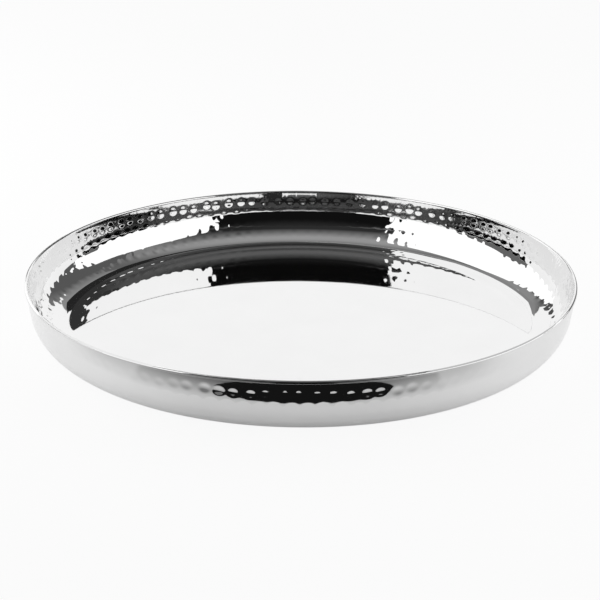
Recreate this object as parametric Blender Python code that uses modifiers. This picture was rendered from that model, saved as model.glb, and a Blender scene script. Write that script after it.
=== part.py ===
"""Round serving tray in hammered, polished steel: two nested skins joined by a rolled lip.

Metres, +Z up. The origin is on the table, under the middle of the tray.
"""
import math
import random

import bmesh
import bpy
from mathutils import Matrix, Vector

# Whole tray
RIM_RADIUS = 0.190  # to the outermost edge of the rolled lip
TRAY_HEIGHT = 0.0406  # from the standing ring under the base to the top of the lip
SHEET = 0.0006  # steel of both skins
STAND_OFF = 0.0015  # height of the standing ring above the table, given by the feet
FLOOR_GAP = 0.0003  # air between the pan's floor and the pressed middle of the base

# Rolled lip: the pan's edge turns over the shell's edge and down its outside
SEAM_CLEARANCE = 0.0002  # between the shell's edge and the fold on either side
LIP_LEG = 0.0008  # straight end of the fold, below its round top
LIP_CUTS = 4  # straight pieces in the round top

# Walls
WALL_LEAN = math.radians(7.2)  # of both skins, off vertical, widening upwards
PAN_CORNER = 0.0275  # inside radius between wall and floor
SHELL_CORNER = 0.0262  # outside radius between wall and base
CORNER_CUTS = 6  # straight pieces in a smooth corner

# Hammer marks
HAMMER_COUNT = 120  # marks in one turn
HAMMER_ROWS = 4
HAMMER_PITCH = 0.0092  # from row to row, measured down the wall
HAMMER_START = 0.0035  # from the foot of the lip to the first row's upper edge
HAMMER_DEPTH = 0.00034
HAMMER_DRIFT = 0.14  # how far a blow may land off its cell's centre, in cells

# Base of the shell
RING_WIDTH = 0.005  # flat ring left standing round the pressed middle
RECESS_DEPTH = 0.0004
RECESS_RUN = 0.002  # width of the slope between ring and middle
VENT_RADIUS = 0.002

# Vent plug
PLUG_CLEARANCE = 0.0002
PLUG_HEAD_RADIUS = 0.0042
PLUG_HEAD_HEIGHT = 0.0009

# Feet
FOOT_COUNT = 4
FOOT_CIRCLE = 0.125
FOOT_RADIUS = 0.006
FOOT_FILM = 0.0003  # adhesive between pad and base
FOOT_ROUNDING = 0.0009

# Heights and radii that follow from the sizes above
LIP_TOP = STAND_OFF + TRAY_HEIGHT
RECESS_Z = STAND_OFF + RECESS_DEPTH
FLOOR_Z = RECESS_Z + SHEET + FLOOR_GAP + SHEET
LIP_THICKNESS = 3 * SHEET + 2 * SEAM_CLEARANCE
LIP_ROUND = LIP_THICKNESS / 2
LIP_CENTRE_R = RIM_RADIUS - LIP_ROUND
LIP_CENTRE_Z = LIP_TOP - LIP_ROUND
PAN_TOP_R = RIM_RADIUS - LIP_THICKNESS
SHELL_TOP_R = RIM_RADIUS - SHEET - SEAM_CLEARANCE
STEP_ANGLE = 2 * math.pi / HAMMER_COUNT
BAND_TWIST = HAMMER_ROWS * STEP_ANGLE / 2  # turn between the band's first and last row edges


class WallFace:
    """One face of a wall in section: it leans straight down from the top, then bends to the flat."""

    def __init__(self, top_r, top_z, lean, corner, flat_z):
        self.top_r, self.top_z, self.lean, self.corner = top_r, top_z, lean, corner
        self.bend_z = flat_z + corner
        self.straight = (top_z - self.bend_z + corner * math.sin(lean)) / math.cos(lean)
        self.flat_r = top_r - self.straight * math.sin(lean) - corner * math.cos(lean)
        self.length = self.straight + corner * (math.pi / 2 - lean)

    def at(self, run, inward=0.0):
        """Radius and height at a distance down the face, moved inwards from it."""
        if run <= self.straight:
            turn = self.lean
            radius = self.top_r - run * math.sin(turn)
            height = self.top_z - run * math.cos(turn)
        else:
            turn = min(self.lean + (run - self.straight) / self.corner, math.pi / 2)
            radius = self.flat_r + self.corner * math.cos(turn)
            height = self.bend_z - self.corner * math.sin(turn)
        return radius - inward * math.cos(turn), height + inward * math.sin(turn)

    def hammered(self):
        """Row edges of the hammered band, each turned on by half a cell so that the rows stagger."""
        runs = [HAMMER_START + row * HAMMER_PITCH for row in range(HAMMER_ROWS + 1)]
        return [(*self.at(run), row * STEP_ANGLE / 2) for row, run in enumerate(runs)]

    def below(self):
        """The smooth corner from the last hammer row to the flat."""
        start = HAMMER_START + HAMMER_ROWS * HAMMER_PITCH
        cuts = max(2, round(CORNER_CUTS * (self.length - start) / (self.length - self.straight)))
        runs = [start + (self.length - start) * k / cuts for k in range(1, cuts + 1)]
        return [self.at(run) for run in runs]

    def hidden(self, inward):
        """The smooth face on the other side of the sheet, from the top to the flat."""
        bend = self.length - self.straight
        runs = [0.0] + [self.straight + bend * k / CORNER_CUTS for k in range(CORNER_CUTS + 1)]
        return [self.at(run, inward) for run in runs]


def arc(centre_r, centre_z, radius, start, end, cuts):
    """Points on a round, both ends included, angles in degrees."""
    angles = [math.radians(start + (end - start) * k / cuts) for k in range(cuts + 1)]
    return [(centre_r + radius * math.cos(a), centre_z + radius * math.sin(a)) for a in angles]


def steel(name, shade, roughness):
    material = bpy.data.materials.new(name)
    material.use_nodes = True
    shader = material.node_tree.nodes["Principled BSDF"]
    shader.inputs["Base Color"].default_value = (shade, shade, shade, 1.0)
    shader.inputs["Metallic"].default_value = 1.0
    shader.inputs["Roughness"].default_value = roughness
    return material


def silicone(name, shade):
    material = bpy.data.materials.new(name)
    material.use_nodes = True
    shader = material.node_tree.nodes["Principled BSDF"]
    shader.inputs["Base Color"].default_value = (shade, shade, shade, 1.0)
    shader.inputs["Roughness"].default_value = 0.5
    return material


def turned(name, section, steps, material, closed=False):
    """A section of (radius, height) or (radius, height, turn) points, turned once round Z."""
    points = []
    for radius, height, *turn in section:
        angle = turn[0] if turn else 0.0
        points.append((radius * math.cos(angle), radius * math.sin(angle), height))
    edges = [(k, k + 1) for k in range(len(points) - 1)]
    if closed:
        edges.append((len(points) - 1, 0))
    profile = bpy.data.meshes.new(name)
    profile.from_pydata(points, edges, [])
    piece = bpy.data.objects.new(name, profile)
    parts.objects.link(piece)
    screw = piece.modifiers.new("turn", "SCREW")
    screw.axis = "Z"
    screw.angle = 2 * math.pi
    screw.steps = steps
    screw.render_steps = steps
    screw.use_merge_vertices = True
    screw.merge_threshold = 0.00002
    screw.use_smooth_shade = True
    bpy.context.view_layer.update()
    graph = bpy.context.evaluated_depsgraph_get()
    piece.data = bpy.data.meshes.new_from_object(piece.evaluated_get(graph))
    piece.modifiers.clear()
    piece.data.name = name
    piece.data.materials.append(material)
    return piece


def hammer(piece, face, side, seed):
    """Sinks a dimple into every cell of the hammered band; side is +1 if the face looks outwards."""
    blows = random.Random(seed)
    shape = bmesh.new()
    shape.from_mesh(piece.data)
    shape.normal_update()
    for row in range(HAMMER_ROWS):
        middle = HAMMER_START + (row + 0.5) * HAMMER_PITCH
        middle_r, middle_z = face.at(middle)
        cells = []
        for cell in shape.faces:
            centre = cell.calc_center_median()
            away = math.hypot(math.hypot(centre.x, centre.y) - middle_r, centre.z - middle_z)
            outwards = cell.normal.x * centre.x + cell.normal.y * centre.y
            if away < 0.25 * HAMMER_PITCH and outwards * side > 0:
                cells.append(cell)
        dimples = bmesh.ops.poke(shape, faces=cells)["verts"]
        for dimple in sorted(dimples, key=lambda v: math.atan2(v.co.y, v.co.x)):
            angle = math.atan2(dimple.co.y, dimple.co.x)
            angle += blows.uniform(-HAMMER_DRIFT, HAMMER_DRIFT) * STEP_ANGLE
            run = middle + blows.uniform(-HAMMER_DRIFT, HAMMER_DRIFT) * HAMMER_PITCH
            radius, height = face.at(run, side * HAMMER_DEPTH)
            dimple.co = Vector((radius * math.cos(angle), radius * math.sin(angle), height))
    for cell in shape.faces:
        cell.smooth = True
    shape.to_mesh(piece.data)
    shape.free()


for old in list(bpy.data.objects):
    bpy.data.objects.remove(old, do_unlink=True)

parts = bpy.data.collections.new("round_serving_tray")
bpy.context.scene.collection.children.link(parts)

# Inner pan: floor, hammered wall and the lip that folds over the shell's edge
pan_face = WallFace(PAN_TOP_R, LIP_CENTRE_Z, WALL_LEAN, PAN_CORNER, FLOOR_Z)
pan_section = [(0.0, FLOOR_Z, BAND_TWIST)]
pan_section += [(r, z, BAND_TWIST) for r, z in reversed(pan_face.below())]
pan_section += list(reversed(pan_face.hammered()))
pan_section += arc(LIP_CENTRE_R, LIP_CENTRE_Z, LIP_ROUND, 180, 0, LIP_CUTS)
pan_section.append((RIM_RADIUS, LIP_CENTRE_Z - LIP_LEG))
pan_section.append((RIM_RADIUS - SHEET, LIP_CENTRE_Z - LIP_LEG))
pan_section += arc(LIP_CENTRE_R, LIP_CENTRE_Z, LIP_ROUND - SHEET, 0, 180, 2)[:-1]
pan_section += pan_face.hidden(-SHEET)
pan_section.append((0.0, FLOOR_Z - SHEET))
inner_pan = turned("inner_pan", pan_section, HAMMER_COUNT, steel("mirror_steel", 0.90, 0.03))
hammer(inner_pan, pan_face, -1, 11)

# Outer shell: hammered wall, standing ring, pressed middle with the vent hole
shell_face = WallFace(SHELL_TOP_R, LIP_CENTRE_Z, WALL_LEAN, SHELL_CORNER, STAND_OFF)
ring_inner = shell_face.flat_r - RING_WIDTH
base_line = [
    (ring_inner, STAND_OFF),
    (ring_inner - RECESS_RUN, RECESS_Z),
    (VENT_RADIUS, RECESS_Z),
]
shell_section = [(SHELL_TOP_R - SHEET, LIP_CENTRE_Z), (SHELL_TOP_R, LIP_CENTRE_Z)]
shell_section += shell_face.hammered()
shell_section += [(r, z, BAND_TWIST) for r, z in shell_face.below() + base_line]
shell_section += [(r, z + SHEET, BAND_TWIST) for r, z in reversed(base_line)]
shell_section += list(reversed(shell_face.hidden(SHEET)[1:]))
outer_shell = turned(
    "outer_shell", shell_section, HAMMER_COUNT, steel("polished_steel", 0.86, 0.05), closed=True
)
hammer(outer_shell, shell_face, 1, 23)

# Vent plug: head under the base, shank pressed into the hole as far as the sheet is thick
plug_seat = RECESS_Z - PLUG_CLEARANCE
plug_shank = VENT_RADIUS - PLUG_CLEARANCE
plug_section = [
    (0.0, RECESS_Z + SHEET),
    (plug_shank, RECESS_Z + SHEET),
    (plug_shank, plug_seat),
    (PLUG_HEAD_RADIUS, plug_seat),
    (PLUG_HEAD_RADIUS, plug_seat - PLUG_HEAD_HEIGHT / 2),
    (PLUG_HEAD_RADIUS - PLUG_HEAD_HEIGHT / 2, plug_seat - PLUG_HEAD_HEIGHT),
    (0.0, plug_seat - PLUG_HEAD_HEIGHT),
]
turned("vent_plug", plug_section, 24, silicone("plug_silicone", 0.30))

# Feet: stick-on pads in the pressed middle of the base
foot_top = RECESS_Z - FOOT_FILM
foot_section = [(0.0, foot_top), (FOOT_RADIUS, foot_top)]
foot_section += arc(FOOT_RADIUS - FOOT_ROUNDING, FOOT_ROUNDING, FOOT_ROUNDING, 0, -90, 3)
foot_section.append((0.0, 0.0))
foot_silicone = silicone("foot_silicone", 0.62)
for number in range(FOOT_COUNT):
    around = 2 * math.pi * (number + 0.5) / FOOT_COUNT
    foot = turned(f"foot_{number + 1}", foot_section, 24, foot_silicone)
    spot = Vector((FOOT_CIRCLE * math.cos(around), FOOT_CIRCLE * math.sin(around), 0.0))
    foot.matrix_world = Matrix.Translation(spot)
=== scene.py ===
import math
import random

import bpy
import numpy as np
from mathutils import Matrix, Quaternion, Vector


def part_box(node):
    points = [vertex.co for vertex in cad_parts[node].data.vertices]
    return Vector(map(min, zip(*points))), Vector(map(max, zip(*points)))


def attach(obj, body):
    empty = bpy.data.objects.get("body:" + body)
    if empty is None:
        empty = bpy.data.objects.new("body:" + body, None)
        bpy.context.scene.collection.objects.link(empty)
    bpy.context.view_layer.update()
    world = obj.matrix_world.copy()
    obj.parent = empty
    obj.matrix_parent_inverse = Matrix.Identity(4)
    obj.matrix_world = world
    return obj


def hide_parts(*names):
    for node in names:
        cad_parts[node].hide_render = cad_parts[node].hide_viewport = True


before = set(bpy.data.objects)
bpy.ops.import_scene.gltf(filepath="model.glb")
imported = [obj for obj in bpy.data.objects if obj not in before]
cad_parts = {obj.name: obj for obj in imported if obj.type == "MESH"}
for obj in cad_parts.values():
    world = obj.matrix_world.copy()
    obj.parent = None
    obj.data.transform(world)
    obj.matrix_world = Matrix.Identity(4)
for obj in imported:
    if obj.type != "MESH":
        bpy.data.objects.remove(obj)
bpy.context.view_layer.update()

# Outer shell
# The outside skin: a disc of stainless steel spun into a low bowl, hammered from outside in four
# staggered rows and polished. Its base is pressed up inside a standing ring, round a vent hole.
shell_low, shell_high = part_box("outer_shell")
stand_off = shell_low.z
fold_height = shell_high.z  # where the walls end and the rolled lip begins
sheet = 0.0006
wall_lean = math.radians(7.2)
shell_corner = 0.0262
ring_width = 0.005
ring_cuts = 2
recess_depth = 0.0004
recess_run = 0.002
recess_cuts = 6
recess_margin = 1.2  # from the ring to where the base lies flat again, in runs
vent_radius = 0.002
vent_margin = 1.4  # where the flat ends at the vent, in vent radii
vent_rounding = 0.0002
edge_cuts = 3  # across a small rounded edge

hammered_cuts = 1440  # points in one turn of a hammered wall
smooth_cuts = 480  # and of the smooth steel beside it
band_cuts = 48  # rings down the hammered band
corner_cuts = 10  # and from there to the flat
hidden_cuts = 8  # and down the hidden side of a wall
mark_count = 120
mark_rows = 4
row_pitch = 0.0092
mark_reach = 0.0033  # from the middle of a mark to its faded edge
mark_bowl = 1.5  # power of its section: a higher one fades sooner
mark_drift = 0.13  # how far a blow lands off its place, in pitches
drop_share = 0.6  # how much of that there is down the wall
reach_spread = 0.1  # how much one blow differs from the next, in reach
depth_spread = 0.18  # and in depth
shell_first_row = 0.0088  # from the top of the wall down to the middle of the first row
shell_mark_depth = 0.00022
shell_stretch = 1.3  # how much wider than tall a mark is
shell_light = [(224, 24.5), (316, 24.5)]  # where the blows are lighter: middle and half width in degrees
shell_lightest = 0.15  # share of the depth that they have there
light_edge = 8  # how sharply a lighter place ends
shell_seed = 23

line_scale, line_detail = 900.0, 3.0  # lines left by the lathe
line_drift = 0.002  # how much a line changes on its way round
line_relief = 0.0000012
cloud_scale, cloud_detail = 28.0, 4.0  # clouds left by the mop
haze_low, haze_high = 0.1, 0.5


def wall_line(top_radius, top_height, corner, flat_height):
    """A wall in section: its length, and its radius, height and slope at a run down it."""
    bend_height = flat_height + corner
    straight = (top_height - bend_height + corner * math.sin(wall_lean)) / math.cos(wall_lean)
    flat_radius = top_radius - straight * math.sin(wall_lean) - corner * math.cos(wall_lean)

    def at(run):
        if run <= straight:
            radius = top_radius - run * math.sin(wall_lean)
            return radius, top_height - run * math.cos(wall_lean), wall_lean
        slope = min(wall_lean + (run - straight) / corner, math.pi / 2)
        return flat_radius + corner * math.cos(slope), bend_height - corner * math.sin(slope), slope

    return straight + corner * (math.pi / 2 - wall_lean), at


def hammer_marks(seed, first_row, mark_depth, light_places, lightest):
    """Where each blow lands on a wall: angle, run down the wall, reach and depth.

    In the light places the blows get lighter, down to the lightest share of the full depth.
    """
    blows = random.Random(seed)
    marks = []
    for row in range(mark_rows):
        for place in range(mark_count):
            step = place + row / 2 + blows.uniform(-mark_drift, mark_drift)
            drop = row + blows.uniform(-mark_drift, mark_drift) * drop_share
            reach = mark_reach * blows.uniform(1 - reach_spread, 1 + reach_spread)
            depth = mark_depth * blows.uniform(1 - depth_spread, 1 + depth_spread)
            angle = step * 2 * math.pi / mark_count
            for middle, half_width in light_places:
                off_middle = (math.degrees(angle) - middle) / half_width
                depth *= 1 - (1 - lightest) * math.exp(-off_middle**light_edge)
            marks.append((angle, first_row + drop * row_pitch, reach, depth))
    return marks


def hammered_rings(wall, marks, first_row, stretch):
    """The rings of a hammered wall, from its top to the flat. A mark deeper than 0 goes outwards."""
    length, at = wall
    band_end = first_row + mark_rows * row_pitch
    turn = np.arange(hammered_cuts) * 2 * math.pi / hammered_cuts
    rings = []
    for run in np.linspace(0, band_end, band_cuts):
        radius, height, slope = at(run)
        sunk = np.zeros(hammered_cuts)
        for angle, middle, reach, depth in marks:
            if abs(run - middle) < reach:
                across = (turn - angle + math.pi) % (2 * math.pi) - math.pi
                away = ((across * radius / stretch) ** 2 + (run - middle) ** 2) / reach**2
                sunk += depth * np.clip(1 - away, 0, None) ** mark_bowl
        rings.append((radius + sunk * math.cos(slope), height - sunk * math.sin(slope)))
    return rings + [at(run)[:2] for run in np.linspace(band_end, length, corner_cuts + 1)[1:]]


def round_edge(middle_radius, middle_height, bend, start, end, cuts):
    """Points on a rounded edge in section, both ends included, angles in degrees."""
    angles = [math.radians(start + (end - start) * k / cuts) for k in range(cuts + 1)]
    return [(middle_radius + bend * math.cos(a), middle_height + bend * math.sin(a)) for a in angles]


def turned(name, rings, cuts, closed=False):
    """A solid turned from rings of radius and height.

    A plain ring has one radius and as many points as cuts. A hammered ring has a radius for each point.
    A ring with no radius is a pole.
    """
    points = []
    rows = []
    for radius, height in rings:
        first = len(points)
        if np.isscalar(radius) and radius == 0:
            points.append((0.0, 0.0, height))
            rows.append([first] * cuts)
            continue
        count = cuts if np.isscalar(radius) else len(radius)
        angles = np.arange(count) * 2 * math.pi / count
        heights = np.broadcast_to(height, count)
        points += list(zip(radius * np.cos(angles), radius * np.sin(angles), heights))
        rows.append(list(range(first, first + count)))
    if closed:
        rows.append(rows[0])
    faces = []
    for near, far in zip(rows, rows[1:]):
        count = min(len(near), len(far))
        near_step, far_step = len(near) // count, len(far) // count
        for k in range(count):
            edge = [far[(k * far_step + j) % len(far)] for j in range(far_step + 1)]
            edge += [near[(k * near_step + j) % len(near)] for j in range(near_step, -1, -1)]
            faces.append(tuple(dict.fromkeys(edge)))
    mesh = bpy.data.meshes.new(name)
    mesh.from_pydata(points, [], faces)
    mesh.shade_smooth()
    piece = bpy.data.objects.new(name, mesh)
    bpy.context.scene.collection.objects.link(piece)
    return piece


def wire(tree, kind, inputs=None, **settings):
    """Adds a node to a material or the world, with its settings and with its inputs filled or linked."""
    node = tree.nodes.new(kind)
    for setting, value in settings.items():
        setattr(node, setting, value)
    for socket, value in (inputs or {}).items():
        if isinstance(value, bpy.types.NodeSocket):
            tree.links.new(value, node.inputs[socket])
        else:
            node.inputs[socket].default_value = value
    return node


def sums(tree, operation, *values):
    """One step of arithmetic in a material or the world."""
    return wire(tree, "ShaderNodeMath", dict(enumerate(values)), operation=operation).outputs[0]


def noise(tree, place, scale, detail):
    """A cloudy pattern at a place, from 0 to 1."""
    return wire(tree, "ShaderNodeTexNoise", {"Vector": place, "Scale": scale, "Detail": detail}).outputs[0]


def grey(level):
    """A neutral colour."""
    return (level, level, level, 1.0)


def polished_steel(name, dark, light, dull, bright):
    """Steel polished on the lathe.

    It has faint lines round the axis, soft clouds from the polishing mop, and hardly any blur.
    """
    material = bpy.data.materials.new(name)
    material.use_nodes = True
    tree = material.node_tree
    shader = tree.nodes["Principled BSDF"]
    place = wire(tree, "ShaderNodeTexCoord").outputs["Object"]
    axes = wire(tree, "ShaderNodeSeparateXYZ", {0: place})
    flat = wire(tree, "ShaderNodeCombineXYZ", {0: axes.outputs[0], 1: axes.outputs[1]})
    radius = wire(tree, "ShaderNodeVectorMath", {0: flat.outputs[0]}, operation="LENGTH").outputs["Value"]
    turn = sums(tree, "ARCTAN2", axes.outputs[1], axes.outputs[0])
    drift = sums(tree, "MULTIPLY", turn, line_drift)
    lathe = wire(tree, "ShaderNodeCombineXYZ", {0: radius, 1: drift, 2: axes.outputs[2]}).outputs[0]
    lines = noise(tree, lathe, line_scale, line_detail)
    clouds = noise(tree, place, cloud_scale, cloud_detail)
    tone = wire(tree, "ShaderNodeMix", {0: clouds, 6: grey(dark), 7: grey(light)}, data_type="RGBA")
    tree.links.new(tone.outputs[2], shader.inputs["Base Color"])
    haze = sums(tree, "MULTIPLY", lines, clouds)
    limits = {0: haze, 1: haze_low, 2: haze_high, 3: bright, 4: dull}
    blur = wire(tree, "ShaderNodeMapRange", limits).outputs[0]
    tree.links.new(blur, shader.inputs["Roughness"])
    relief = wire(tree, "ShaderNodeBump", {"Height": lines, "Strength": 1.0, "Distance": line_relief})
    tree.links.new(relief.outputs[0], shader.inputs["Normal"])
    shader.inputs["Metallic"].default_value = 1.0
    return material


shell_wall = wall_line(shell_high.x, fold_height, shell_corner, stand_off)
shell_flat = shell_wall[1](shell_wall[0])[0]  # radius where the wall has run into the base
ring_inner = shell_flat - ring_width
recess_height = stand_off + recess_depth
base_line = [(shell_flat - ring_width * k / ring_cuts, stand_off) for k in range(1, ring_cuts + 1)]
for k in range(1, recess_cuts + 1):
    rise = (1 - math.cos(math.pi * k / recess_cuts)) / 2
    base_line.append((ring_inner - recess_run * k / recess_cuts, stand_off + recess_depth * rise))
base_line.append((ring_inner - recess_run * recess_margin, recess_height))
base_line.append((vent_radius * vent_margin, recess_height))
vent_bend = vent_radius + vent_rounding
base_line += round_edge(vent_bend, recess_height + vent_rounding, vent_rounding, -90, -180, edge_cuts)
shell_rings = [(shell_high.x - sheet, fold_height)]
shell_marks = hammer_marks(shell_seed, shell_first_row, -shell_mark_depth, shell_light, shell_lightest)
shell_rings += hammered_rings(shell_wall, shell_marks, shell_first_row, shell_stretch)
shell_rings += base_line
shell_rings += [(vent_radius, recess_height + sheet), (ring_inner - recess_run, recess_height + sheet)]
inner_line = wall_line(shell_high.x - sheet, fold_height, shell_corner - sheet, stand_off + sheet)
shell_rings += [inner_line[1](inner_line[0] * (1 - k / hidden_cuts))[:2] for k in range(hidden_cuts)]
outer_shell = turned("outer_shell_skin", shell_rings, smooth_cuts, closed=True)
shell_steel = polished_steel("polished_steel", dark=0.83, light=0.88, dull=0.06, bright=0.02)
outer_shell.data.materials.append(shell_steel)
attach(outer_shell, "root")
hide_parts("outer_shell")

# Inner pan
# The inside skin: spun and hammered like the shell, with a flat mirror floor. It drops into the shell,
# and its edge is rolled outwards over the shell's edge, which joins the two all round.
pan_low, pan_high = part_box("inner_pan")
rim_radius = pan_high.x
lip_top = pan_high.z
floor_height = pan_low.z + sheet
floor_share = 0.5  # of the floor's radius, where a ring lies between its middle and its edge
floor_margin = 0.0006  # from the floor's last ring to the corner
pan_corner = 0.0275
pan_first_row = 0.0068
pan_mark_depth = 0.00014
pan_stretch = 1.05
pan_light = [(87, 17)]
pan_lightest = 0.25
pan_seed = 11
lip_round = lip_top - fold_height
lip_middle = rim_radius - lip_round
lip_cuts, under_lip_cuts = 14, 6
fold_leg = 0.0008
fold_break = 0.00015  # rounding of the fold's cut edge

pan_top = rim_radius - 2 * lip_round
pan_wall = wall_line(pan_top, fold_height, pan_corner, floor_height)
pan_flat = pan_wall[1](pan_wall[0])[0]  # radius where the wall has run into the floor
floor_rings = (0.0, pan_flat * floor_share, pan_flat - floor_margin)
pan_rings = [(radius, floor_height) for radius in floor_rings]
pan_marks = hammer_marks(pan_seed, pan_first_row, pan_mark_depth, pan_light, pan_lightest)
pan_rings += reversed(hammered_rings(pan_wall, pan_marks, pan_first_row, pan_stretch))
pan_rings += round_edge(lip_middle, fold_height, lip_round, 180, 0, lip_cuts)[1:]
fold_bend = fold_height - fold_leg + fold_break
pan_rings += round_edge(rim_radius - fold_break, fold_bend, fold_break, 0, -90, edge_cuts)
pan_rings += round_edge(rim_radius - sheet + fold_break, fold_bend, fold_break, -90, -180, edge_cuts)
pan_rings += round_edge(lip_middle, fold_height, lip_round - sheet, 0, 180, under_lip_cuts)
under_line = wall_line(pan_top + sheet, fold_height, pan_corner + sheet, pan_low.z)
pan_rings += [under_line[1](under_line[0] * k / hidden_cuts)[:2] for k in range(1, hidden_cuts + 1)]
pan_rings.append((0.0, pan_low.z))
inner_pan = turned("inner_pan_skin", pan_rings, smooth_cuts)
pan_steel = polished_steel("mirror_steel", dark=0.79, light=0.83, dull=0.05, bright=0.01)
inner_pan.data.materials.append(pan_steel)
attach(inner_pan, "root")
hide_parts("inner_pan")

# Vent plug
# A soft moulded plug, pushed into the hole in the base after the skins are joined and dried.
# Its head lies in the pressed middle, clear of the table.
plug_low, plug_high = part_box("vent_plug")
plug_radius = plug_high.x
plug_play = 0.0002  # between the plug and the steel
plug_shank = vent_radius - plug_play
plug_seat = recess_height - plug_play
plug_tip = 0.8  # width of the flat end, as a share of the shank
plug_break = 0.0001  # bevel of its small edges
plug_edge = 0.00045  # rounding of the head
plug_edge_cuts = 8
plug_cuts = 72
plug_dish = [(0.55, 0.0), (0.45, 0.0001), (0.2, 0.00025), (0.0, 0.00028)]  # share of the radius, and depth
rubber_cloud_scale, rubber_cloud_detail = 350.0, 3.0
grain_scale, grain_detail = 6000.0, 2.0
grain_low, grain_high = 0.3, 0.7
grain_strength, grain_relief = 0.5, 0.00002
rubber_bright, rubber_dull = 0.42, 0.6


def soft_rubber(name, dark, light):
    """Moulded silicone: a dull skin with the fine grain of its mould."""
    material = bpy.data.materials.new(name)
    material.use_nodes = True
    tree = material.node_tree
    shader = tree.nodes["Principled BSDF"]
    place = wire(tree, "ShaderNodeTexCoord").outputs["Object"]
    clouds = noise(tree, place, rubber_cloud_scale, rubber_cloud_detail)
    grain = noise(tree, place, grain_scale, grain_detail)
    tone = wire(tree, "ShaderNodeMix", {0: clouds, 6: grey(dark), 7: grey(light)}, data_type="RGBA")
    tree.links.new(tone.outputs[2], shader.inputs["Base Color"])
    limits = {0: grain, 1: grain_low, 2: grain_high, 3: rubber_bright, 4: rubber_dull}
    blur = wire(tree, "ShaderNodeMapRange", limits).outputs[0]
    tree.links.new(blur, shader.inputs["Roughness"])
    bumps = {"Height": grain, "Strength": grain_strength, "Distance": grain_relief}
    relief = wire(tree, "ShaderNodeBump", bumps)
    tree.links.new(relief.outputs[0], shader.inputs["Normal"])
    return material


plug_rings = [(0.0, plug_high.z), (plug_shank * plug_tip, plug_high.z)]
plug_rings += [(plug_shank, plug_high.z - plug_break), (plug_shank, plug_seat + plug_break)]
plug_rings += [(plug_shank + plug_break, plug_seat), (plug_radius - plug_break, plug_seat)]
plug_rings += round_edge(plug_radius - plug_edge, plug_low.z + plug_edge, plug_edge, 30, -90, plug_edge_cuts)
plug_rings += [(plug_radius * share, plug_low.z + depth) for share, depth in plug_dish]
vent_plug = turned("vent_plug_moulding", plug_rings, plug_cuts)
vent_plug.data.materials.append(soft_rubber("plug_silicone", dark=0.27, light=0.33))
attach(vent_plug, "root")
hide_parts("vent_plug")

# Feet
# Four round silicone pads, each stuck into the pressed middle of the base by a thin film of adhesive.
# They lift the standing ring off the table and keep the tray from sliding.
foot_count = 4
foot_rounding = 0.0009
foot_break = 0.00015  # bevel of a pad's upper edge
foot_edge_cuts = 8
foot_cuts = 96
film_inset = 0.0004  # from the pad's edge to the film's
sole_share = 0.5  # of the pad's radius, where a ring lies on its sole
foot_material = soft_rubber("foot_silicone", dark=0.57, light=0.66)
for number in range(1, foot_count + 1):
    foot_low, foot_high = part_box(f"foot_{number}")
    middle = (foot_low + foot_high) / 2
    foot_radius = (foot_high.x - foot_low.x) / 2
    film_radius = foot_radius - film_inset
    foot_rings = [(0.0, recess_height), (film_radius, recess_height), (film_radius, foot_high.z)]
    foot_rings.append((foot_radius - foot_break, foot_high.z))
    foot_rings.append((foot_radius, foot_high.z - foot_break))
    foot_bend = foot_radius - foot_rounding
    foot_rings += round_edge(foot_bend, foot_rounding, foot_rounding, 0, -90, foot_edge_cuts)
    foot_rings += [(foot_radius * sole_share, 0.0), (0.0, 0.0)]
    foot = turned(f"foot_{number}_pad", foot_rings, foot_cuts)
    foot.location = (middle.x, middle.y, 0.0)
    foot.data.materials.append(foot_material)
    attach(foot, "root")
    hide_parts(f"foot_{number}")

# Table
# A white table top under the tray, drawn out to a plain pale floor. The dark room in front of the tray is
# painted onto it as shade that only the steel shows: a black patch close to the tray, with grey dusk on both
# sides of it.
table_reach = 12.0
table_tone = 0.88
table_glow = 0.92  # share of plain white that the camera sees, over the shaded tone
front_glow = 0.35  # the same in the steel, in front of the tray, where painted shade keeps it lower
side_glow = 0.62  # and at its sides, painted brighter as if lit by the white panels
front_turn, side_turn = math.radians(15), math.radians(60)
under_start, under_end = 0.16, 0.2  # where the painted shade under the tray ends
under_glow = 0.4  # share of that glow left in the painted shade under the tray
night_level = 0.008
shade_middle = 0.2305  # from the tray's axis to the middle of the black patch
shade_near, shade_far = 0.0107, 0.0135  # how far it goes towards the tray, and away from it
shade_turn = math.radians(21)
shade_shift = math.radians(1)
shade_soft = 0.05
lane_start, lane_end = 0.1, 0.3  # sides of the black lane that leads away from it, in squared turns
lane_rise = 0.002
far_start, far_end = 0.03, 0.05  # where the dark beyond begins, from the middle of the black patch
far_inner, far_outer = 0.14, 0.6  # and its sides, in radians off the front
far_depth = 0.95
dusk_start, dusk_end = 0.216, 0.2365  # where the painted dusk begins and is deepest
dusk_turn = math.radians(40.8)
dusk_skew = 1.21  # how much sooner it ends on the right
dusk_depth = 0.82
dusk_even = 0.4  # share of its turn before it wanes
dusk_wane = 0.65  # share of its depth at the end of its turn
dusk_soft = 0.03
dusk_step = 0.6  # share that is left beyond its turn
tail_start, tail_end = 1.2, 1.75  # where that runs out, in turns


def card(name, corners):
    """A flat card in the studio, from its corners."""
    mesh = bpy.data.meshes.new(name)
    mesh.from_pydata(corners, [], [tuple(range(len(corners)))])
    board = bpy.data.objects.new(name, mesh)
    bpy.context.scene.collection.objects.link(board)
    return board


def fade(tree, value, start, end, low=0.0, high=1.0, curve="SMOOTHSTEP"):
    """A change from low to high as the value goes from start to end."""
    limits = {0: value, 1: start, 2: end, 3: low, 4: high}
    return wire(tree, "ShaderNodeMapRange", limits, interpolation_type=curve).outputs[0]


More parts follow.
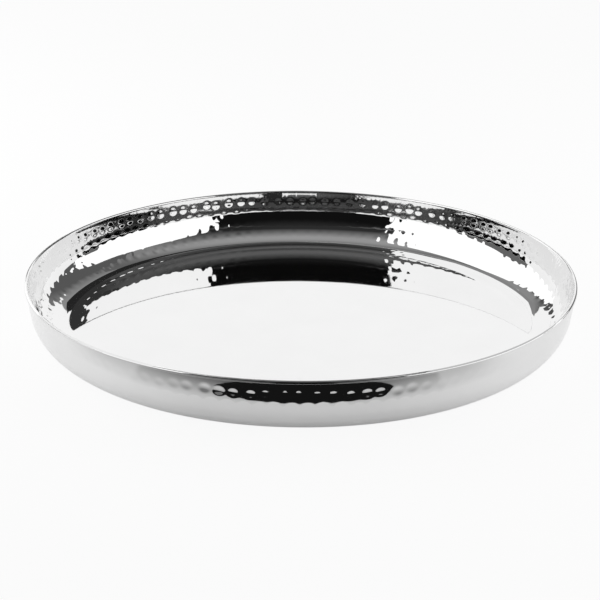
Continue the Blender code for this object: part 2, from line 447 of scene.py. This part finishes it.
table_corners = [(-1, -1), (1, -1), (1, 1), (-1, 1)]
table = card("table_top", [(x * table_reach, y * table_reach, 0) for x, y in table_corners])
table_paint = bpy.data.materials.new("table_paint")
table_paint.use_nodes = True
tree = table_paint.node_tree
tree.nodes.remove(tree.nodes["Principled BSDF"])
path = wire(tree, "ShaderNodeLightPath")
mirrored = sums(tree, "MAXIMUM", path.outputs["Is Glossy Ray"], path.outputs["Is Transmission Ray"])
place = wire(tree, "ShaderNodeTexCoord").outputs["Object"]
radius = wire(tree, "ShaderNodeVectorMath", {0: place}, operation="LENGTH").outputs["Value"]
axes = wire(tree, "ShaderNodeSeparateXYZ", {0: place})
from_front = sums(tree, "ARCTAN2", axes.outputs[0], sums(tree, "MULTIPLY", axes.outputs[1], -1.0))
off_front = sums(tree, "ABSOLUTE", from_front)

# Painted light and shade that only the steel sees: the table brighter at its sides, darker in front and
# under the tray
shine = fade(tree, off_front, front_turn, side_turn, front_glow, side_glow)
shine = sums(tree, "MULTIPLY", shine, fade(tree, radius, under_start, under_end, under_glow, 1.0))
seen = sums(tree, "MULTIPLY", path.outputs["Is Camera Ray"], table_glow)
share = sums(tree, "MULTIPLY_ADD", mirrored, shine, seen)
matt = wire(tree, "ShaderNodeBsdfDiffuse", {"Color": grey(table_tone)})
white = wire(tree, "ShaderNodeEmission", {"Color": grey(1.0), "Strength": 1.0})
paint = wire(tree, "ShaderNodeMixShader", {0: share, 1: matt.outputs[0], 2: white.outputs[0]})

# Painted shade for the steel only: a black patch in front of the tray, and a black lane that leads away from
# it, standing in for the dark room
turned_off = sums(tree, "DIVIDE", sums(tree, "SUBTRACT", from_front, shade_shift), shade_turn)
turned_off = sums(tree, "MULTIPLY", turned_off, turned_off)
beyond = sums(tree, "SUBTRACT", radius, shade_middle)
pushed_out = sums(tree, "DIVIDE", beyond, shade_far)
pushed_out = sums(tree, "MAXIMUM", pushed_out, sums(tree, "DIVIDE", beyond, -shade_near))
off_patch = sums(tree, "ADD", turned_off, sums(tree, "POWER", pushed_out, 2.0))
dark = fade(tree, off_patch, 1 - shade_soft, 1 + shade_soft, 1.0, 0.0)
lane = fade(tree, turned_off, lane_start, lane_end, 1.0, 0.0)
lane = sums(tree, "MULTIPLY", lane, fade(tree, beyond, 0.0, lane_rise))
dark = sums(tree, "MAXIMUM", dark, lane)
# Painted shade for the steel only: the dark beyond the black patch
far_painted_shade = fade(tree, off_front, far_inner, far_outer, far_depth, 0.0)
far_painted_shade = sums(tree, "MULTIPLY", far_painted_shade, fade(tree, beyond, far_start, far_end))
dark = sums(tree, "MAXIMUM", dark, far_painted_shade)

# Painted grey dusk on both sides of the black patch, seen only in the steel
skewed = sums(tree, "MULTIPLY", from_front, dusk_skew)
skewed = sums(tree, "MAXIMUM", skewed, sums(tree, "MULTIPLY", from_front, -1.0))
dusk_turns = sums(tree, "DIVIDE", skewed, dusk_turn)
dusk = fade(tree, dusk_turns, dusk_even, 1.0, dusk_depth, dusk_depth * dusk_wane, "LINEAR")
dusk = sums(tree, "MULTIPLY", dusk, fade(tree, dusk_turns, 1 - dusk_soft, 1 + dusk_soft, 1.0, dusk_step))
dusk = sums(tree, "MULTIPLY", dusk, fade(tree, dusk_turns, tail_start, tail_end, 1.0, 0.0))
dusk = sums(tree, "MULTIPLY", dusk, fade(tree, radius, dusk_start, dusk_end, curve="LINEAR"))
# Where the painted shade turns the table near black, for mirrored rays only
gloom = sums(tree, "MULTIPLY", mirrored, sums(tree, "MAXIMUM", dark, dusk))
night = wire(tree, "ShaderNodeEmission", {"Color": grey(1.0), "Strength": night_level})
surface = wire(tree, "ShaderNodeMixShader", {0: gloom, 1: paint.outputs[0], 2: night.outputs[0]})
tree.links.new(surface.outputs[0], tree.nodes["Material Output"].inputs["Surface"])
table.data.materials.append(table_paint)

# Light tent
# White panels stand left and right of the table and hang over the tray, with a strip of grey ceiling
# between them and a white board behind. Each shows only by its light and by its picture in the steel.
panel_level = 1.3
board_level = 1.08
flag_level = 0.15
side_distance = 2.0
flag_distance = 1.8
tent_height = 0.4
high_height = 2.0
gap_step = 0.00002  # between the cards on one line behind the tray
gap_tone, gap_light = 0.02, 0.27
wedge_share, wedge_times = 0.05, 2
dim_share = 0.4  # what is left of a level once the steel mirrors it again
strip_tone, near_tone = 0.36, 0.03
strip_lift = 0.01  # above the panels
strip_near, strip_middle = -0.03, 0.2  # where its near end fades out
strip_fade, strip_far, far_share = 0.24, 0.42, 0.42  # and its far end
strip_right, right_share = 0.2, 0.7  # and its right


def glowing(name, level):
    """A surface that shines evenly."""
    material = bpy.data.materials.new(name)
    material.use_nodes = True
    tree = material.node_tree
    tree.nodes.remove(tree.nodes["Principled BSDF"])
    glow = wire(tree, "ShaderNodeEmission", {"Color": grey(1.0), "Strength": level})
    tree.links.new(glow.outputs[0], tree.nodes["Material Output"].inputs["Surface"])
    return material


def panel(name, corners, level):
    """A glowing card that the camera doesn't see."""
    board = card(name, corners)
    board.data.materials.append(glowing(name + "_cloth", level))
    board.visible_camera = False
    board.visible_shadow = False
    return board


def side_panel(name, side, outline, level):
    """A panel that stands across one side; its outline is (depth, height) in units of its distance."""
    return panel(name, [(side, abs(side) * depth, abs(side) * height) for depth, height in outline], level)


def back_panel(name, outline, level):
    """A panel that stands behind the tray; its outline is (width, height) in units of its distance."""
    corners = [(side_distance * width, side_distance, side_distance * height) for width, height in outline]
    return panel(name, corners, level)


def roof_panel(name, outline, level, lift=0.0):
    """A panel over the tray, from its outline in plan."""
    return panel(name, [(x, y, tent_height + lift) for x, y in outline], level)


def mirrored_share(tree, level, share, times=1):
    """Turns a level into a share of it where the steel has mirrored it more than so many times."""
    bounces = wire(tree, "ShaderNodeLightPath").outputs["Glossy Depth"]
    return sums(tree, "MULTIPLY", level, fade(tree, bounces, times, times + 1, 1.0, share))


def set_strength(board, level, share, times=1):
    """Gives a panel a level that changes with the number of mirrorings."""
    tree = board.data.materials[0].node_tree
    tree.links.new(mirrored_share(tree, level, share, times), tree.nodes["Emission"].inputs["Strength"])


left_side = [(-1.035, 0), (2.05, 0), (2.05, 1.0), (-1.035, 1.0)]
right_side = [(-1.19, 0), (0.625, 0), (0.625, 0.5), (-1.19, 0.7)]
side_panel("left_panel", -side_distance, left_side, panel_level)
side_panel("right_panel", side_distance, right_side, panel_level)
left_edge = [(-0.65, 1.3), (-0.135, 0.56), (-0.05, 0.43), (-0.05, 0.22), (-0.105, 0.1), (-0.165, 0)]
left_edge += [(-0.285, -0.11), (-0.56, -0.32), (-1.3, -1.05), (-1.3, 1.3)]
right_edge = [(1.3, -0.9), (0.62, -0.3), (0.43, -0.12), (0.3, -0.04), (0.2, -0.02), (0.215, 0.1)]
right_edge += [(0.265, 0.2), (0.33, 0.27), (0.4, 0.41), (0.54, 0.53), (1.3, 1.1)]
roof_panel("left_roof", left_edge, panel_level)
roof_panel("right_roof", right_edge, panel_level)
left_high = [(-1.37, -0.34), (-1.15, -0.9), (-0.66, -0.59), (-0.79, -0.24)]
for name, side in (("left_high", 1), ("right_high", -1)):
    panel(name, [(side * x, y, high_height) for x, y in left_high], panel_level)
gap_outline = [(0.35, 0.31), (0.6, 0.31), (1.0, 0.484), (6.0, 2.68), (6.0, 4.5), (0.35, 0.6)]
glare_outline = [(0.35, 0.405), (0.75, 0.42), (1.0, 0.53), (6.0, 2.68), (6.0, 4.5), (0.35, 0.6)]
panel("gap_left", [(-gap_step, y, z) for y, z in gap_outline], gap_tone)
panel("gap_right", [(0.0, y, z) for y, z in gap_outline], gap_light)
panel("gap_glare", [(gap_step, y, z) for y, z in glare_outline], board_level)
strip_outline = [(-0.31, 0.72), (0.27, 0.72), (0.27, 0.95), (-0.31, 0.95)]
back_panel("back_strip", strip_outline, board_level)
left_outline = [(-0.2, 0.085), (0.66, 0.085), (0.62, 0.24), (0.544, 0.283), (0.333, 0.31), (0.213, 0.264)]
left_outline += [(0.006, 0.222), (-0.2, 0.17)]
right_outline = [(0.25, 0.07), (0.55, 0.07), (0.52, 0.15), (0.3, 0.2)]
left_flag = side_panel("left_flag", -flag_distance, left_outline, flag_level)
right_flag = side_panel("right_flag", flag_distance, right_outline, flag_level)
for flag in (left_flag, right_flag):
    set_strength(flag, flag_level, panel_level / flag_level)
wedge_plan = [(1.3, -1.3), (0.43, -0.4), (0.26, -0.13), (0.2, -0.02), (0.3, -0.04), (0.43, -0.12)]
wedge_plan += [(0.62, -0.3), (1.3, -0.9)]
wedge = roof_panel("right_wedge", wedge_plan, panel_level)
set_strength(wedge, panel_level, wedge_share, wedge_times)
back_outline = [(-0.28, 0), (0.364, 0), (0.364, 0.476), (-0.28, 0.476)]
back_board = back_panel("back_board", back_outline, board_level)
set_strength(back_board, board_level, dim_share)

strip_plan = [(-0.3, -0.12), (0.3, -0.12), (0.3, 0.2), (0.2, 0.33), (0.14, 0.45), (-0.3, 0.45)]
ceiling = roof_panel("ceiling_strip", strip_plan, strip_tone, strip_lift)
tree = ceiling.data.materials[0].node_tree
axes = wire(tree, "ShaderNodeSeparateXYZ", {0: wire(tree, "ShaderNodeTexCoord").outputs["Object"]})
near_fade = fade(tree, axes.outputs[1], strip_near, strip_middle, near_tone, strip_tone, "LINEAR")
far_fade = fade(tree, axes.outputs[1], strip_fade, strip_far, 1.0, far_share)
right_fade = fade(tree, axes.outputs[0], 0.0, strip_right, 1.0, right_share)
tone = sums(tree, "MULTIPLY", near_fade, sums(tree, "MULTIPLY", far_fade, right_fade))
set_strength(ceiling, tone, dim_share)

# Small cards
# Cards held low over the front of the tray, for the short bright and dark dashes in its back rim, and two
# beside the lip for its tone. Each shows only in the steel close to it, after just so many mirrorings.
dash_height, dash_reach = 0.06, 0.075
low_height, low_reach = 0.1, 0.14
lip_height, lip_reach = 0.052, 0.03
lip_near, lip_far = 0.17, 0.212
left_lip_level, right_lip_level = 1.0, 0.6
arc_cuts = 8
count_error = 0.5  # within which two counts are the same


def near_card(name, outline, height, level, times, reach):
    """A card over the tray that shows only in steel within reach that mirrors it just so many times."""
    board = panel(name, [(x, y, height) for x, y in outline], level)
    board.visible_diffuse = False
    tree = board.data.materials[0].node_tree
    path = wire(tree, "ShaderNodeLightPath")
    counted = sums(tree, "COMPARE", path.outputs["Glossy Depth"], times, count_error)
    shows = sums(tree, "MULTIPLY", counted, sums(tree, "LESS_THAN", path.outputs["Ray Length"], reach))
    clear = wire(tree, "ShaderNodeBsdfTransparent").outputs[0]
    glow = tree.nodes["Emission"].outputs[0]
    surface = wire(tree, "ShaderNodeMixShader", {0: shows, 1: clear, 2: glow})
    tree.links.new(surface.outputs[0], tree.nodes["Material Output"].inputs["Surface"])


dash_outline = [(-0.02, -0.139), (0.026, -0.139), (0.026, -0.09), (-0.02, -0.09)]
dash_end = [(0.026, -0.16), (0.055, -0.16), (0.055, -0.09), (0.026, -0.09)]
near_card("middle_dash", dash_outline, dash_height, panel_level, 2, dash_reach)
near_card("dash_end", dash_end, dash_height, near_tone, 2, dash_reach)
low_outline = [(0.07, -0.116), (0.1, -0.112), (0.13, -0.097), (0.155, -0.08), (0.185, -0.05)]
low_outline += [(0.17, -0.02), (0.1, -0.05)]
low_left = [(0.03, -0.06), (0.03, -0.116)] + low_outline
low_right = [(-0.06, -0.06), (-0.06, -0.116)] + [(-x, y) for x, y in low_outline]
near_card("low_left", low_left, low_height, panel_level, 2, low_reach)
near_card("low_right", low_right, low_height, panel_level, 2, low_reach)
lip_cards = [("left_lip", 200, 240, left_lip_level), ("right_lip", 296, 335, right_lip_level)]
for name, first, last, level in lip_cards:
    sector = [math.radians(first + (last - first) * k / arc_cuts) for k in range(arc_cuts + 1)]
    arc = [(lip_near * math.cos(a), lip_near * math.sin(a)) for a in sector]
    arc += [(lip_far * math.cos(a), lip_far * math.sin(a)) for a in reversed(sector)]
    near_card(name, arc, lip_height, level, 1, lip_reach)

# Room
# What is left of the studio round the tent: dark behind the camera, a dim ceiling, and grey walls at the
# back. The camera itself sees plain white. The limits below are parts of a direction of length 1.
wall_tone = 0.3
corner_tone = 0.11
corner_start, corner_end = 0.3, 0.56  # to the right
left_tone = 0.09
left_start, left_end = -0.1, 0.0  # to the left
left_low, left_top = 0.35, 0.5  # and upwards
low_tone, high_tone = 0.006, 0.025  # behind the camera
behind_low, behind_high = 0.45, 0.85
behind_end, back_start = -0.62, -0.45
ceiling_tone = 0.2
ceiling_start, ceiling_full = 0.91, 0.95

room = bpy.data.worlds.new("studio_room")
room.use_nodes = True
bpy.context.scene.world = room
tree = room.node_tree
way = wire(tree, "ShaderNodeSeparateXYZ", {0: wire(tree, "ShaderNodeTexCoord").outputs["Generated"]})
walls = fade(tree, way.outputs[0], corner_start, corner_end, wall_tone, corner_tone, "LINEAR")
leftwards = fade(tree, way.outputs[0], left_start, left_end, 1.0, 0.0)
left_part = sums(tree, "MULTIPLY", leftwards, fade(tree, way.outputs[2], left_low, left_top, 1.0, 0.0))
walls = wire(tree, "ShaderNodeMix", {0: left_part, 2: walls, 3: left_tone}).outputs[0]
behind = fade(tree, way.outputs[2], behind_low, behind_high, low_tone, high_tone)
backwards = fade(tree, way.outputs[1], behind_end, back_start)
walls = wire(tree, "ShaderNodeMix", {0: backwards, 2: behind, 3: walls}).outputs[0]
overhead = fade(tree, way.outputs[2], ceiling_start, ceiling_full)
level = wire(tree, "ShaderNodeMix", {0: overhead, 2: walls, 3: ceiling_tone}).outputs[0]
level = mirrored_share(tree, level, dim_share)
path = wire(tree, "ShaderNodeLightPath")
shown = wire(tree, "ShaderNodeMix", {0: path.outputs["Is Camera Ray"], 2: level, 3: 1.0})
tree.links.new(shown.outputs[0], tree.nodes["Background"].inputs["Strength"])
tree.nodes["Background"].inputs["Color"].default_value = grey(1.0)

# Camera
# A long lens in front of the tray, about 20 degrees above the table and turned very slightly. The steel
# mirrors itself from wall to wall, which takes more bounces than usual.
camera_height_angle = math.radians(19.96)
camera_roll = math.radians(0.35)
camera_distance = 6 * rim_radius
aim_drop, aim_shift = 0.0201, -0.0006  # from the middle of the rim
sensor_width, focal_length = 36, 98.42
mirror_bounces = 12

rim_middle = Vector((0, 0, lip_top))
towards = Vector((0, -math.cos(camera_height_angle), math.sin(camera_height_angle)))
upwards = Vector((0, math.sin(camera_height_angle), math.cos(camera_height_angle)))
aim = rim_middle - aim_drop * upwards + Vector((aim_shift, 0, 0))
lens = bpy.data.cameras.new("camera")
lens.sensor_width = sensor_width
lens.lens = focal_length
camera = bpy.data.objects.new("camera", lens)
camera.location = rim_middle + camera_distance * towards
camera.rotation_mode = "QUATERNION"
level_view = (aim - camera.location).to_track_quat("-Z", "Y")
camera.rotation_quaternion = level_view @ Quaternion((0, 0, 1), camera_roll)
bpy.context.scene.collection.objects.link(camera)
bpy.context.scene.camera = camera
bpy.context.scene.view_settings.view_transform = "Standard"
bpy.context.scene.cycles.glossy_bounces = mirror_bounces
